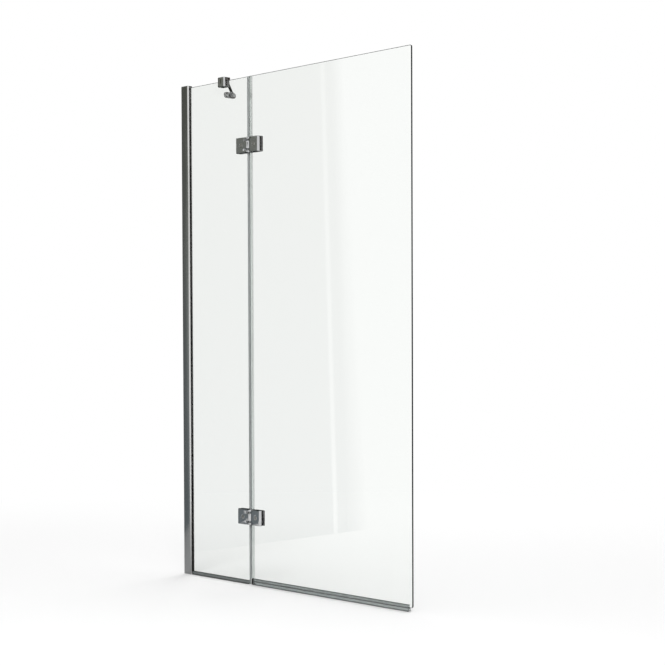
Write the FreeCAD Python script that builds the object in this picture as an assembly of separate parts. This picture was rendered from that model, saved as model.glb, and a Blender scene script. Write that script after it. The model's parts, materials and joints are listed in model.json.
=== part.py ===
import FreeCAD, Part
import math
import os

# Bath screen: a fixed pane in a wall channel, a swinging pane on two pivot hinges, and a stay to the wall.
# X runs from the wall along the screen, Y from its outer to its inner side, Z up from its foot.
# The origin is at the foot of the channel's back, in the middle plane of the glass. Sizes are in mm.

# Whole screen
CHANNEL_HEIGHT = 1400.0
FIXED_WIDTH = 281.0            # wall face to the hinge axis
DOOR_WIDTH = 599.0             # hinge axis to the free edge
GLASS_THICKNESS = 5.0
GLASS_TOP_DROP = 4.0           # glass top below the channel's top end
PANE_GAP = 8.0                 # between the two panes' edges
DOOR_CORNER_RADIUS = 5.0
SEAT_GAP = 0.05                # radial gap of screws, pins and sleeves that do not turn
RUNNING_GAP = 0.05             # radial gap of pins that turn
FREE_GAP = 0.5                 # between pieces that pass each other

# Wall channel
CHANNEL_DEPTH = 30.0
CHANNEL_WIDTH = 18.0
CHANNEL_WALL = 2.0
CHANNEL_FRONT_RADIUS = 4.0
CHANNEL_BACK_RADIUS = 0.5
CHANNEL_MOUTH_GAP = 2.1        # from each face of the glass to the lip beside it
GLASS_TO_WEB = 3.0             # room for the wall screws' heads
WALL_HOLE_RADIUS = 2.6
WALL_HOLE_INSETS = (100.0, 500.0)
CLAMP_STRIP_START = 8.0        # from the wall face
CLAMP_STRIP_DEPTH = 15.0
PRESSURE_STRIP_THICKNESS = 3.0
CHANNEL_SCREW_RADIUS = 2.5
CHANNEL_SCREW_INSET = 150.0
CHANNEL_SCREW_SINK = 0.6       # screw end below the channel's face
SCREW_CAP_RADIUS = 5.5
SCREW_CAP_HEIGHT = 1.5
SCREW_CAP_EDGE = 0.6
TOP_CAP_THICKNESS = 1.5
TOP_CAP_EDGE = 0.5
GASKET_REACH = 3.0             # how far a glazing gasket runs into the channel behind its lip
GASKET_BULGE = 0.6             # how far it stands out of the mouth
SETTING_BLOCK_HEIGHT = 3.5

# Fixed pane's seal
FIXED_SEAL_HEIGHT = 10.5
SEAL_WALL = 0.9
FIXED_SEAL_WALL = 1.6
FIXED_SEAL_END = 2.0           # short of the pane's edge, clear of the door's seal

# Hinges
HINGE_INSET = 187.0            # hinge centre from the channel's foot and from the glass top
HINGE_HEIGHT = 42.0
HINGE_FIXED_LENGTH = 45.0      # axis to the end of the fixed leaf
HINGE_DOOR_LENGTH = 50.0       # axis to the end of the door leaf
HINGE_PLATE = 8.5
HINGE_END_BEVEL = 4.5
HINGE_RIM_BEVEL = 1.2
HINGE_GASKET = 1.0
HINGE_NECK = 5.0               # full-thickness part of the door leaf beside the barrel
HINGE_FIXED_NECK = 13.0        # full-thickness part of the fixed leaf behind the axis
LEAF_JOINT = 0.1               # between a leaf and its clamp plate
NOTCH_RADIUS = 3.0
NOTCH_GAP = 1.0                # between the notch in a pane and the hinge in it
LUG_RADIUS = 6.5
LUG_THICKNESS = 5.2
LUG_INSET = 8.0                # centre of a lug's slot from the hinge's end
SLOT_HEIGHT = 6.0
WASHER_THICKNESS = 0.6
PIN_RADIUS = 3.0
PIN_FLOOR = 1.5
PIN_SINK = 1.0
BUSH_WALL = 1.5
CLAMP_SCREW_RADIUS = 3.0
CLAMP_SCREW_HEAD = 6.0
CLAMP_SCREW_HEAD_DEPTH = 3.0
CLAMP_SCREW_LENGTH = 21.0
FIXED_SCREW_REACH = 21.0       # axis to the screw
DOOR_SCREW_REACH = 30.0
SLEEVE_WALL = 2.4
HEX_ACROSS_FLATS = 4.0
HEX_DEPTH = 2.4
GRUB_HEX_ACROSS_FLATS = 2.5

# Seals of the swinging pane
SEAM_TUBE_RADIUS = 3.7
SEAM_LEG = 9.0
DOOR_GLASS_BOTTOM = 10.0
DOOR_SEAL_CLIP = 7.6           # how far the clip reaches up the glass
DOOR_SEAL_WEB = 1.6
DOOR_SEAL_FOOT = 0.8           # lip above the screen's foot
DOOR_SEAL_SPLAY = 1.4
DOOR_SEAL_END = 12.0           # short of the free edge
END_BLOCK_LENGTH = 7.0
END_BLOCK_HALF_WIDTH = 4.0
SEAL_JOINT = 0.3               # between the ends of neighbouring seals

# Stay from the fixed pane to the wall
STAY_LENGTH = 222.0            # between its two pivots
STAY_ANGLE = 45.0              # between the stay and the wall's normal, in plan
STAY_RADIUS = 4.0
STAY_HEIGHT_ABOVE_GLASS = 2.0
STAY_WALL_STANDOFF = 14.0      # wall face to the stay's pivot
STAY_CLAMP_STANDOFF = 6.5      # clamp's inner face to the stay's pivot
STAY_CLAMP_OFFSET = 6.0        # clamp's middle beyond the pivot, away from the wall
STAY_CLAMP_LENGTH = 30.0
STAY_CLAMP_WIDTH = 25.0
STAY_CLAMP_OVER = 10.0         # clamp above the glass
STAY_CLAMP_UNDER = 16.5        # clamp below the glass top
STAY_CLAMP_BEVEL = 3.4
STAY_CLAMP_RIM_BEVEL = 0.8
STAY_PAD = 1.0
STAY_GRUB_RADIUS = 2.5
STAY_GRUB_DROP = 10.0          # below the glass top
STAY_EYE_RADIUS = 6.0
STAY_EYE_THICKNESS = 5.0
STAY_EYE_PLAY = 0.2
STAY_EAR_THICKNESS = 3.0
STAY_ROD_SETBACK = 8.5         # pivot to where the round rod starts
STAY_PIN_RADIUS = 2.0
STAY_PIN_HEAD_RADIUS = 3.6
STAY_PIN_HEAD = 1.2
WALL_PLATE_LENGTH = 44.0
WALL_PLATE_HEIGHT = 17.0
WALL_PLATE_THICKNESS = 5.0
WALL_PLATE_BEVEL = 1.0
WALL_PLATE_HOLE_SPACING = 26.0
WALL_PLATE_HOLE_RADIUS = 2.25
WALL_PLATE_SINK_RADIUS = 4.5
WALL_PLATE_SINK_DEPTH = 2.25

# Places worked out from the sizes above
HALF_GLASS = GLASS_THICKNESS / 2
GLASS_TOP = CHANNEL_HEIGHT - GLASS_TOP_DROP
FIXED_EDGE = FIXED_WIDTH - PANE_GAP / 2
DOOR_EDGE = FIXED_WIDTH + PANE_GAP / 2
FREE_EDGE = FIXED_WIDTH + DOOR_WIDTH
GLASS_START = CHANNEL_WALL + GLASS_TO_WEB
HALF_CHANNEL = CHANNEL_WIDTH / 2
HALF_CAVITY = HALF_CHANNEL - CHANNEL_WALL
HALF_MOUTH = HALF_GLASS + CHANNEL_MOUTH_GAP
CAVITY_RADIUS = min(CHANNEL_FRONT_RADIUS - CHANNEL_WALL, (HALF_CAVITY - HALF_MOUTH) / 2)
CLAMP_FACE = HALF_GLASS + HINGE_GASKET
HALF_HINGE = CLAMP_FACE + HINGE_PLATE
HINGE_CENTRES = {"lower": HINGE_INSET, "upper": GLASS_TOP - HINGE_INSET}
LUG_CENTRES = (LUG_INSET - HINGE_HEIGHT / 2, HINGE_HEIGHT / 2 - LUG_INSET)
DOOR_LEAF_START = HALF_HINGE + FREE_GAP
DOOR_NECK_END = DOOR_LEAF_START + HINGE_NECK
BUSH_RADIUS = PIN_RADIUS + RUNNING_GAP + BUSH_WALL
SLEEVE_RADIUS = CLAMP_SCREW_RADIUS + SEAT_GAP + SLEEVE_WALL
STAY_PIVOT_X = STAY_WALL_STANDOFF + STAY_LENGTH * math.cos(math.radians(STAY_ANGLE))
STAY_PIVOT_Y = STAY_CLAMP_WIDTH / 2 + STAY_CLAMP_STANDOFF
STAY_PIVOT_Z = GLASS_TOP + STAY_HEIGHT_ABOVE_GLASS
STAY_CLAMP_X = STAY_PIVOT_X + STAY_CLAMP_OFFSET
WALL_PLATE_Y = STAY_PIVOT_Y + STAY_LENGTH * math.sin(math.radians(STAY_ANGLE))
EAR_STARTS = (STAY_EYE_THICKNESS / 2 + STAY_EYE_PLAY,
              -STAY_EYE_THICKNESS / 2 - STAY_EYE_PLAY - STAY_EAR_THICKNESS)

AXES = {"x": FreeCAD.Vector(1, 0, 0), "y": FreeCAD.Vector(0, 1, 0), "z": FreeCAD.Vector(0, 0, 1)}


def on_plane(across, u, v, w):
    """The point at (u, v) on the plane square to an axis, w along that axis."""
    if across == "x":
        return FreeCAD.Vector(w, u, v)
    if across == "y":
        return FreeCAD.Vector(u, w, v)
    return FreeCAD.Vector(u, v, w)


def rounded_wire(corners, across, w):
    """A closed wire through (u, v, radius) corners, each rounded by an arc of its radius."""
    points = [on_plane(across, u, v, w) for u, v, radius in corners]
    ends = []
    edges = []
    for i, (u, v, radius) in enumerate(corners):
        here = points[i]
        back = (points[i - 1] - here).normalize()
        ahead = (points[(i + 1) % len(points)] - here).normalize()
        if radius == 0:
            ends.append((here, here))
            continue
        half_turn = back.getAngle(ahead) / 2
        reach = radius / math.tan(half_turn)
        middle = here + (back + ahead).normalize() * (radius / math.sin(half_turn) - radius)
        start = here + back * reach
        end = here + ahead * reach
        ends.append((start, end))
        edges.append(Part.Arc(start, middle, end).toShape())
    for i, (start, end) in enumerate(ends):
        following = ends[(i + 1) % len(ends)][0]
        if end.distanceToPoint(following) > 1e-6:
            edges.append(Part.makeLine(end, following))
    return Part.Wire(Part.__sortEdges__(edges))


def prism(corners, across, start, end):
    """A solid with the outline of (u, v, radius) corners, from start to end along an axis."""
    face = Part.Face(rounded_wire(corners, across, start))
    return face.extrude(AXES[across] * (end - start))


def block(x0, x1, y0, y1, z0, z1):
    """A square block between its two corners."""
    return Part.makeBox(x1 - x0, y1 - y0, z1 - z0, FreeCAD.Vector(x0, y0, z0))


def rod(radius, along, start, end, u=0.0, v=0.0):
    """A round bar along an axis, centred at (u, v) across it."""
    return Part.makeCylinder(radius, end - start, on_plane(along, u, v, start), AXES[along])


def tube(outer, inner, along, start, end, u=0.0, v=0.0):
    """A round tube along an axis."""
    return rod(outer, along, start, end, u, v).cut(rod(inner, along, start, end, u, v))


def cone(start_radius, end_radius, along, start, end, u=0.0, v=0.0):
    """A round taper along an axis."""
    base = on_plane(along, u, v, start)
    return Part.makeCone(start_radius, end_radius, end - start, base, AXES[along])


def hex_bar(across_flats, along, start, end, u=0.0, v=0.0):
    """A six-sided bar, the shape of a socket key."""
    radius = across_flats / math.sqrt(3)
    turns = [math.radians(60 * i) for i in range(6)]
    corners = [(u + radius * math.cos(a), v + radius * math.sin(a), 0) for a in turns]
    return prism(corners, along, start, end)


def bevel_ends(shape, low, high, size):
    """Bevel all edges that lie on the level faces at two heights."""
    def lies_level(edge):
        box = edge.BoundBox
        level = [abs(box.ZMin - z) < 1e-4 and abs(box.ZMax - z) < 1e-4 for z in (low, high)]
        return any(level)
    return shape.makeChamfer(size, [edge for edge in shape.Edges if lies_level(edge)])


def moved(shape, x=0.0, y=0.0, z=0.0):
    """A copy of a shape at another place."""
    return shape.translated(FreeCAD.Vector(x, y, z))


def group(shapes):
    """Separate solids kept together as one piece of the set."""
    return Part.makeCompound(shapes)


def channel_screw_heights():
    """Heights of the screws that clamp the pane in the channel."""
    return (CHANNEL_SCREW_INSET, CHANNEL_HEIGHT / 2, CHANNEL_HEIGHT - CHANNEL_SCREW_INSET)


def wall_hole_heights():
    """Heights of the channel's wall holes, in pairs about its middle."""
    return [z for inset in WALL_HOLE_INSETS for z in (inset, CHANNEL_HEIGHT - inset)]


def clamp_strip_end():
    """Where the packing and pressure strips end, away from the wall."""
    return CLAMP_STRIP_START + CLAMP_STRIP_DEPTH


def wall_channel():
    """The extruded channel: web on the wall, two sides with rounded front corners and inward lips."""
    lip = CHANNEL_DEPTH - CHANNEL_WALL
    half = [
        (0, HALF_CHANNEL, CHANNEL_BACK_RADIUS),
        (CHANNEL_DEPTH, HALF_CHANNEL, CHANNEL_FRONT_RADIUS),
        (CHANNEL_DEPTH, HALF_MOUTH, 0),
        (lip, HALF_MOUTH, 0),
        (lip, HALF_CAVITY, CAVITY_RADIUS),
        (CHANNEL_WALL, HALF_CAVITY, 0),
    ]
    other_half = [(x, -y, radius) for x, y, radius in reversed(half)]
    shape = prism(half + other_half, "z", 0, CHANNEL_HEIGHT)
    for z in wall_hole_heights():
        shape = shape.cut(rod(WALL_HOLE_RADIUS, "x", 0, CHANNEL_WALL, 0, z))
    for z in channel_screw_heights():
        hole = rod(CHANNEL_SCREW_RADIUS + SEAT_GAP, "y", HALF_CAVITY, HALF_CHANNEL, screw_line(), z)
        shape = shape.cut(hole)
    return shape


def screw_line():
    """Distance of the channel's clamp screws from the wall: the middle of the pressure strip."""
    return CLAMP_STRIP_START + CLAMP_STRIP_DEPTH / 2


def channel_lid(back_radius, top):
    """A plate on the channel's top end, with the channel's outline and its own back corners."""
    outline = [
        (0, -HALF_CHANNEL, back_radius),
        (CHANNEL_DEPTH, -HALF_CHANNEL, CHANNEL_FRONT_RADIUS),
        (CHANNEL_DEPTH, HALF_CHANNEL, CHANNEL_FRONT_RADIUS),
        (0, HALF_CHANNEL, back_radius),
    ]
    return prism(outline, "z", CHANNEL_HEIGHT, top)


def channel_top_cap():
    """The cap on the channel's top end, with a plug that fills the cavity above the glass."""
    top = CHANNEL_HEIGHT + TOP_CAP_THICKNESS
    # The back corners are rounded after the bevel, so a small radius there never limits it.
    lid = bevel_ends(channel_lid(0, top), top, top, TOP_CAP_EDGE)
    lid = lid.common(channel_lid(CHANNEL_BACK_RADIUS, top))
    lip = CHANNEL_DEPTH - CHANNEL_WALL - CHANNEL_FRONT_RADIUS
    plug = block(
        CHANNEL_WALL + SEAT_GAP, lip, SEAT_GAP - HALF_CAVITY, HALF_CAVITY - SEAT_GAP,
        GLASS_TOP + FREE_GAP, CHANNEL_HEIGHT)
    return lid.fuse(plug)


def glass_setting_block():
    """The block in the channel's foot that carries the fixed pane."""
    return block(GLASS_START, CHANNEL_DEPTH, -HALF_GLASS, HALF_GLASS, 0, SETTING_BLOCK_HEIGHT)


def glazing_gasket(side):
    """A gasket that fills the channel's mouth beside the glass and hooks behind the lip."""
    lip = CHANNEL_DEPTH - CHANNEL_WALL
    outline = [
        (lip - GASKET_REACH, HALF_GLASS, 0),
        (CHANNEL_DEPTH + GASKET_BULGE, HALF_GLASS, 0),
        (CHANNEL_DEPTH, HALF_MOUTH, 0),
        (lip, HALF_MOUTH, 0),
        (lip, HALF_CAVITY - CAVITY_RADIUS, 0),
        (lip - GASKET_REACH, HALF_CAVITY - CAVITY_RADIUS, 0),
    ]
    corners = [(x, side * y, radius) for x, y, radius in outline]
    return prism(corners, "z", SETTING_BLOCK_HEIGHT, GLASS_TOP)


def glass_packing_strip():
    """The strip that backs the pane against the channel's outer side."""
    return block(
        CLAMP_STRIP_START, clamp_strip_end(), -HALF_CAVITY, -HALF_GLASS,
        SETTING_BLOCK_HEIGHT, GLASS_TOP)


def glass_pressure_strip():
    """The strip that the channel's screws press on the pane's inner side."""
    return block(
        CLAMP_STRIP_START, clamp_strip_end(), HALF_GLASS, HALF_GLASS + PRESSURE_STRIP_THICKNESS,
        SETTING_BLOCK_HEIGHT, GLASS_TOP)


def grub_screw(radius, start, end, x, z):
    """A headless screw along Y with its socket at the far end."""
    body = rod(radius, "y", start, end, x, z)
    return body.cut(hex_bar(GRUB_HEX_ACROSS_FLATS, "y", end - HEX_DEPTH, end, x, z))


def channel_clamp_screws():
    """The screws through the channel's inner side that press on the strip."""
    start = HALF_GLASS + PRESSURE_STRIP_THICKNESS
    end = HALF_CHANNEL - CHANNEL_SCREW_SINK
    return group([
        grub_screw(CHANNEL_SCREW_RADIUS, start, end, screw_line(), z) for z in channel_screw_heights()])


def clamp_screw_caps():
    """The snap-in covers over the channel's screws."""
    caps = []
    for z in channel_screw_heights():
        edge = HALF_CHANNEL + SCREW_CAP_HEIGHT - SCREW_CAP_EDGE
        disc = rod(SCREW_CAP_RADIUS, "y", HALF_CHANNEL, edge, screw_line(), z)
        crown_radius = SCREW_CAP_RADIUS - SCREW_CAP_EDGE
        crown = cone(SCREW_CAP_RADIUS, crown_radius, "y", edge, edge + SCREW_CAP_EDGE, screw_line(), z)
        stub = rod(CHANNEL_SCREW_RADIUS - SEAT_GAP, "y", HALF_CHANNEL - CHANNEL_SCREW_SINK,
                   HALF_CHANNEL, screw_line(), z)
        caps.append(disc.fuse([crown, stub]))
    return group(caps)


def pane(hinge_edge, notch_end, far_edge, bottom, far_radius, screw_reach):
    """A pane of glass with a notch and a screw hole for each hinge."""
    half_notch = HINGE_HEIGHT / 2 + NOTCH_GAP
    corners = [(far_edge, bottom, far_radius), (hinge_edge, bottom, 0)]
    for z in HINGE_CENTRES.values():
        corners.append((hinge_edge, z - half_notch, 0))
        corners.append((notch_end, z - half_notch, NOTCH_RADIUS))
        corners.append((notch_end, z + half_notch, NOTCH_RADIUS))
        corners.append((hinge_edge, z + half_notch, 0))
    corners.append((hinge_edge, GLASS_TOP, 0))
    corners.append((far_edge, GLASS_TOP, far_radius))
    shape = prism(corners, "y", -HALF_GLASS, HALF_GLASS)
    for z in HINGE_CENTRES.values():
        hole = rod(SLEEVE_RADIUS + SEAT_GAP, "y", -HALF_GLASS, HALF_GLASS, FIXED_WIDTH + screw_reach, z)
        shape = shape.cut(hole)
    return shape


def fixed_glass():
    """The pane that stands in the wall channel."""
    notch_end = FIXED_WIDTH - HINGE_FIXED_NECK - NOTCH_GAP
    return pane(FIXED_EDGE, notch_end, GLASS_START, SETTING_BLOCK_HEIGHT, 0, -FIXED_SCREW_REACH)


def door_glass():
    """The pane that swings, with two rounded corners at its free edge."""
    notch_end = FIXED_WIDTH + DOOR_NECK_END + NOTCH_GAP
    return pane(DOOR_EDGE, notch_end, FREE_EDGE, DOOR_GLASS_BOTTOM, DOOR_CORNER_RADIUS, DOOR_SCREW_REACH)


def fixed_bottom_seal():
    """The channel-shaped seal under the fixed pane, on which the screen stands."""
    outer = HALF_GLASS + FIXED_SEAL_WALL
    start = CHANNEL_DEPTH + GASKET_BULGE
    end = FIXED_EDGE - FIXED_SEAL_END
    body = block(start, end, -outer, outer, 0, FIXED_SEAL_HEIGHT)
    groove = block(start, end, -HALF_GLASS, HALF_GLASS, SETTING_BLOCK_HEIGHT, FIXED_SEAL_HEIGHT)
    return body.cut(groove)


def fixed_leaf_blank():
    """The whole fixed half of a hinge: bevelled at its end, round about the pivot."""
    outline = [
        (-HINGE_FIXED_LENGTH, HINGE_END_BEVEL - HALF_HINGE, 0),
        (HINGE_END_BEVEL - HINGE_FIXED_LENGTH, -HALF_HINGE, 0),
        (HALF_HINGE, -HALF_HINGE, HALF_HINGE),
        (HALF_HINGE, HALF_HINGE, HALF_HINGE),
        (HINGE_END_BEVEL - HINGE_FIXED_LENGTH, HALF_HINGE, 0),
        (-HINGE_FIXED_LENGTH, HALF_HINGE - HINGE_END_BEVEL, 0),
    ]
    half = HINGE_HEIGHT / 2
    return bevel_ends(prism(outline, "z", -half, half), -half, half, HINGE_RIM_BEVEL)


def door_leaf_blank():
    """The whole door half of a hinge, without its lugs."""
    outline = [
        (DOOR_LEAF_START, -HALF_HINGE, 0),
        (HINGE_DOOR_LENGTH - HINGE_END_BEVEL, -HALF_HINGE, 0),
        (HINGE_DOOR_LENGTH, HINGE_END_BEVEL - HALF_HINGE, 0),
        (HINGE_DOOR_LENGTH, HALF_HINGE - HINGE_END_BEVEL, 0),
        (HINGE_DOOR_LENGTH - HINGE_END_BEVEL, HALF_HINGE, 0),
        (DOOR_LEAF_START, HALF_HINGE, 0),
    ]
    half = HINGE_HEIGHT / 2
    return bevel_ends(prism(outline, "z", -half, half), -half, half, HINGE_RIM_BEVEL)


def behind_glass_face(x0, x1, face):
    """The part of a hinge from a face in Y to beyond its inner side."""
    return block(x0, x1, face, HALF_HINGE + FREE_GAP, -HINGE_HEIGHT, HINGE_HEIGHT)


def sunk_screw_hole(x):
    """The hole in a leaf's outer plate for a flush clamp screw."""
    sink = cone(
        CLAMP_SCREW_HEAD + SEAT_GAP, CLAMP_SCREW_RADIUS + SEAT_GAP, "y",
        -HALF_HINGE, CLAMP_SCREW_HEAD_DEPTH - HALF_HINGE, x, 0)
    return sink.fuse(rod(CLAMP_SCREW_RADIUS + SEAT_GAP, "y", -HALF_HINGE, HALF_HINGE, x, 0))


def hinge_fixed_body():
    """The fixed half of a hinge: outer plate, neck and slotted barrel."""
    beyond = HINGE_FIXED_LENGTH + FREE_GAP
    shape = fixed_leaf_blank().cut(behind_glass_face(-beyond, -HINGE_FIXED_NECK, -CLAMP_FACE))
    for z in LUG_CENTRES:
        slot = block(
            -LUG_RADIUS - FREE_GAP, beyond, -beyond, beyond, z - SLOT_HEIGHT / 2, z + SLOT_HEIGHT / 2)
        shape = shape.cut(slot)
    bore = rod(PIN_RADIUS + SEAT_GAP, "z", PIN_FLOOR - HINGE_HEIGHT / 2, HINGE_HEIGHT / 2)
    return shape.cut([bore, sunk_screw_hole(-FIXED_SCREW_REACH)])


def hinge_fixed_clamp_plate():
    """The plate that pinches the fixed pane from the inner side."""
    beyond = HINGE_FIXED_LENGTH + FREE_GAP
    region = behind_glass_face(-beyond, -HINGE_FIXED_NECK - LEAF_JOINT, CLAMP_FACE)
    hole = rod(CLAMP_SCREW_RADIUS + SEAT_GAP, "y", CLAMP_FACE, HALF_HINGE, -FIXED_SCREW_REACH, 0)
    return fixed_leaf_blank().common(region).cut(hole)


def lug_start(z):
    """Underside of the lug in the slot centred at a height."""
    return z - SLOT_HEIGHT / 2 + WASHER_THICKNESS


def hinge_door_body():
    """The door half of a hinge: outer plate, neck and two lugs round the pin."""
    beyond = HINGE_DOOR_LENGTH + FREE_GAP
    shape = door_leaf_blank().cut(behind_glass_face(DOOR_NECK_END, beyond, -CLAMP_FACE))
    for z in LUG_CENTRES:
        low = lug_start(z)
        high = low + LUG_THICKNESS
        arm = block(0, DOOR_LEAF_START + HINGE_NECK / 2, -LUG_RADIUS, LUG_RADIUS, low, high)
        shape = shape.fuse([arm, rod(LUG_RADIUS, "z", low, high)])
        shape = shape.cut(rod(BUSH_RADIUS + SEAT_GAP, "z", low, high))
    return shape.cut(sunk_screw_hole(DOOR_SCREW_REACH))


def hinge_door_clamp_plate():
    """The plate that pinches the swinging pane from the inner side."""
    region = behind_glass_face(DOOR_NECK_END + LEAF_JOINT, HINGE_DOOR_LENGTH + FREE_GAP, CLAMP_FACE)
    hole = rod(CLAMP_SCREW_RADIUS + SEAT_GAP, "y", CLAMP_FACE, HALF_HINGE, DOOR_SCREW_REACH, 0)
    return door_leaf_blank().common(region).cut(hole)


def hinge_gaskets(inner_end, outer_end, screw_x):
    """The two rubber sheets between a pane and the plates of one leaf."""
    half = HINGE_HEIGHT / 2 - HINGE_RIM_BEVEL
    x0, x1 = sorted((inner_end, outer_end))
    sheets = []
    for face in (-CLAMP_FACE, HALF_GLASS):
        sheet = block(x0, x1, face, face + HINGE_GASKET, -half, half)
        hole = rod(SLEEVE_RADIUS + SEAT_GAP, "y", face, face + HINGE_GASKET, screw_x, 0)
        sheets.append(sheet.cut(hole))
    return group(sheets)


def hinge_fixed_gaskets():
    """Sheets of the fixed leaf."""
    inner_end = -HINGE_FIXED_NECK - NOTCH_GAP
    return hinge_gaskets(inner_end, HINGE_RIM_BEVEL - HINGE_FIXED_LENGTH, -FIXED_SCREW_REACH)


def hinge_door_gaskets():
    """Sheets of the door leaf."""
    inner_end = DOOR_NECK_END + NOTCH_GAP
    return hinge_gaskets(inner_end, HINGE_DOOR_LENGTH - HINGE_RIM_BEVEL, DOOR_SCREW_REACH)


def hinge_pin():
    """The pin that stands in the fixed leaf's barrel."""
    half = HINGE_HEIGHT / 2
    return rod(PIN_RADIUS, "z", PIN_FLOOR - half, half - PIN_SINK)


def hinge_thrust_washers():
    """The washers that carry the lugs on the barrel."""
    washers = []
    for z in LUG_CENTRES:
        low = z - SLOT_HEIGHT / 2
        inner = PIN_RADIUS + SEAT_GAP
        washers.append(tube(LUG_RADIUS, inner, "z", low, low + WASHER_THICKNESS))
    return group(washers)


def hinge_lug_bushes():
    """The bushes pressed into the lugs, running on the pin."""
    bushes = []
    for z in LUG_CENTRES:
        low = lug_start(z)
        bushes.append(tube(BUSH_RADIUS, PIN_RADIUS + RUNNING_GAP, "z", low, low + LUG_THICKNESS))
    return group(bushes)


def clamp_screw(x, z):
    """A flush socket screw through a leaf, its outer plate first."""
    start = -HALF_HINGE
    neck = start + CLAMP_SCREW_HEAD_DEPTH
    head = cone(CLAMP_SCREW_HEAD, CLAMP_SCREW_RADIUS, "y", start, neck, x, z)
    shank = rod(CLAMP_SCREW_RADIUS, "y", neck, start + CLAMP_SCREW_LENGTH, x, z)
    return head.fuse(shank).cut(hex_bar(HEX_ACROSS_FLATS, "y", start, start + HEX_DEPTH, x, z))


def clamp_screws(reach):
    """The clamp screws of both hinges on one pane."""
    return group([clamp_screw(FIXED_WIDTH + reach, z) for z in HINGE_CENTRES.values()])


def screw_sleeves(reach):
    """The nylon sleeves that keep the clamp screws off the glass."""
    inner = CLAMP_SCREW_RADIUS + SEAT_GAP
    x = FIXED_WIDTH + reach
    return group([
        tube(SLEEVE_RADIUS, inner, "y", -CLAMP_FACE, CLAMP_FACE, x, z) for z in HINGE_CENTRES.values()])


def seam_seal(low, high):
    """A length of tube seal between the panes, clipped on the swinging one."""
    leg_end = DOOR_EDGE + SEAM_LEG
    outer = HALF_GLASS + SEAL_WALL
    tube_body = rod(SEAM_TUBE_RADIUS, "z", low, high, FIXED_WIDTH, 0)
    clip = block(FIXED_WIDTH + PANE_GAP / 4, leg_end, -outer, outer, low, high)
    slot = block(DOOR_EDGE, leg_end, -HALF_GLASS, HALF_GLASS, low, high)
    bore = rod(SEAM_TUBE_RADIUS - SEAL_WALL, "z", low, high, FIXED_WIDTH, 0)
    return tube_body.fuse(clip).cut([slot, bore])


def seam_seals():
    """The three lengths of seam seal, named from below."""
    clear = HINGE_HEIGHT / 2 + NOTCH_GAP
    lower, upper = HINGE_CENTRES["lower"], HINGE_CENTRES["upper"]
    foot = DOOR_GLASS_BOTTOM + DOOR_SEAL_CLIP + SEAL_JOINT
    return {
        "seam_seal_lower": seam_seal(foot, lower - clear),
        "seam_seal_middle": seam_seal(lower + clear, upper - clear),
        "seam_seal_upper": seam_seal(upper + clear, GLASS_TOP),
    }


def door_bottom_seal():
    """The clip under the swinging pane with two splayed drip lips."""
    grip = HALF_GLASS + SEAL_WALL
    clip_top = DOOR_GLASS_BOTTOM + DOOR_SEAL_CLIP
    web = DOOR_GLASS_BOTTOM - DOOR_SEAL_WEB
    tip = grip + DOOR_SEAL_SPLAY
    half = [
        (HALF_GLASS, DOOR_GLASS_BOTTOM, 0),
        (HALF_GLASS, clip_top, 0),
        (grip, clip_top, 0),
        (grip, web, 0),
        (tip, DOOR_SEAL_FOOT, 0),
        (tip - SEAL_WALL, DOOR_SEAL_FOOT, 0),
        (grip - DOOR_SEAL_WEB, web, 0),
    ]
    other_half = [(-y, z, radius) for y, z, radius in reversed(half)]
    start = DOOR_EDGE + END_BLOCK_LENGTH
    return prism(half + other_half, "x", start, FREE_EDGE - DOOR_SEAL_END)


def door_seal_end_block():
    """The rubber block that closes the door seal beside the hinge line."""
    end = DOOR_EDGE + END_BLOCK_LENGTH
    top = DOOR_GLASS_BOTTOM + DOOR_SEAL_CLIP
    body = block(DOOR_EDGE, end, -END_BLOCK_HALF_WIDTH, END_BLOCK_HALF_WIDTH, DOOR_SEAL_FOOT, top)
    return body.cut(block(DOOR_EDGE, end, -HALF_GLASS, HALF_GLASS, DOOR_GLASS_BOTTOM, top))


def ears(reach):
    """Two ears about a pivot at the origin, joined to a face that lies at -reach in Y."""
    parts = []
    for start in EAR_STARTS:
        end = start + STAY_EAR_THICKNESS
        parts.append(rod(STAY_EYE_RADIUS, "z", start, end))
        parts.append(block(-STAY_EYE_RADIUS, STAY_EYE_RADIUS, -reach, 0, start, end))
    pair = parts[0].fuse(parts[1:])
    return pair.cut(rod(STAY_PIN_RADIUS + SEAT_GAP, "z", EAR_STARTS[1], -EAR_STARTS[1]))


def stay_clamp_block():
    """The block astride the fixed pane's top edge, with the ears that hold the stay."""
    half_length = STAY_CLAMP_LENGTH / 2
    half_width = STAY_CLAMP_WIDTH / 2
    slant = STAY_CLAMP_BEVEL
    outline = [
        (slant - half_length, -half_width, 0), (half_length - slant, -half_width, 0),
        (half_length, slant - half_width, 0), (half_length, half_width - slant, 0),
        (half_length - slant, half_width, 0), (slant - half_length, half_width, 0),
        (-half_length, half_width - slant, 0), (-half_length, slant - half_width, 0),
    ]
    low = GLASS_TOP - STAY_CLAMP_UNDER
    high = GLASS_TOP + STAY_CLAMP_OVER
    body = bevel_ends(prism(outline, "z", low, high), low, high, STAY_CLAMP_RIM_BEVEL)
    body = moved(body, x=STAY_CLAMP_X)
    body = body.fuse(moved(ears(STAY_CLAMP_STANDOFF), STAY_PIVOT_X, STAY_PIVOT_Y, STAY_PIVOT_Z))
    groove_half = HALF_GLASS + STAY_PAD
    groove = block(
        STAY_CLAMP_X - half_length, STAY_CLAMP_X + half_length, -groove_half, groove_half, low, GLASS_TOP)
    screw_z = GLASS_TOP - STAY_GRUB_DROP
    screw_hole = rod(STAY_GRUB_RADIUS + SEAT_GAP, "y", groove_half, half_width, STAY_CLAMP_X, screw_z)
    return body.cut([groove, screw_hole])


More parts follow.
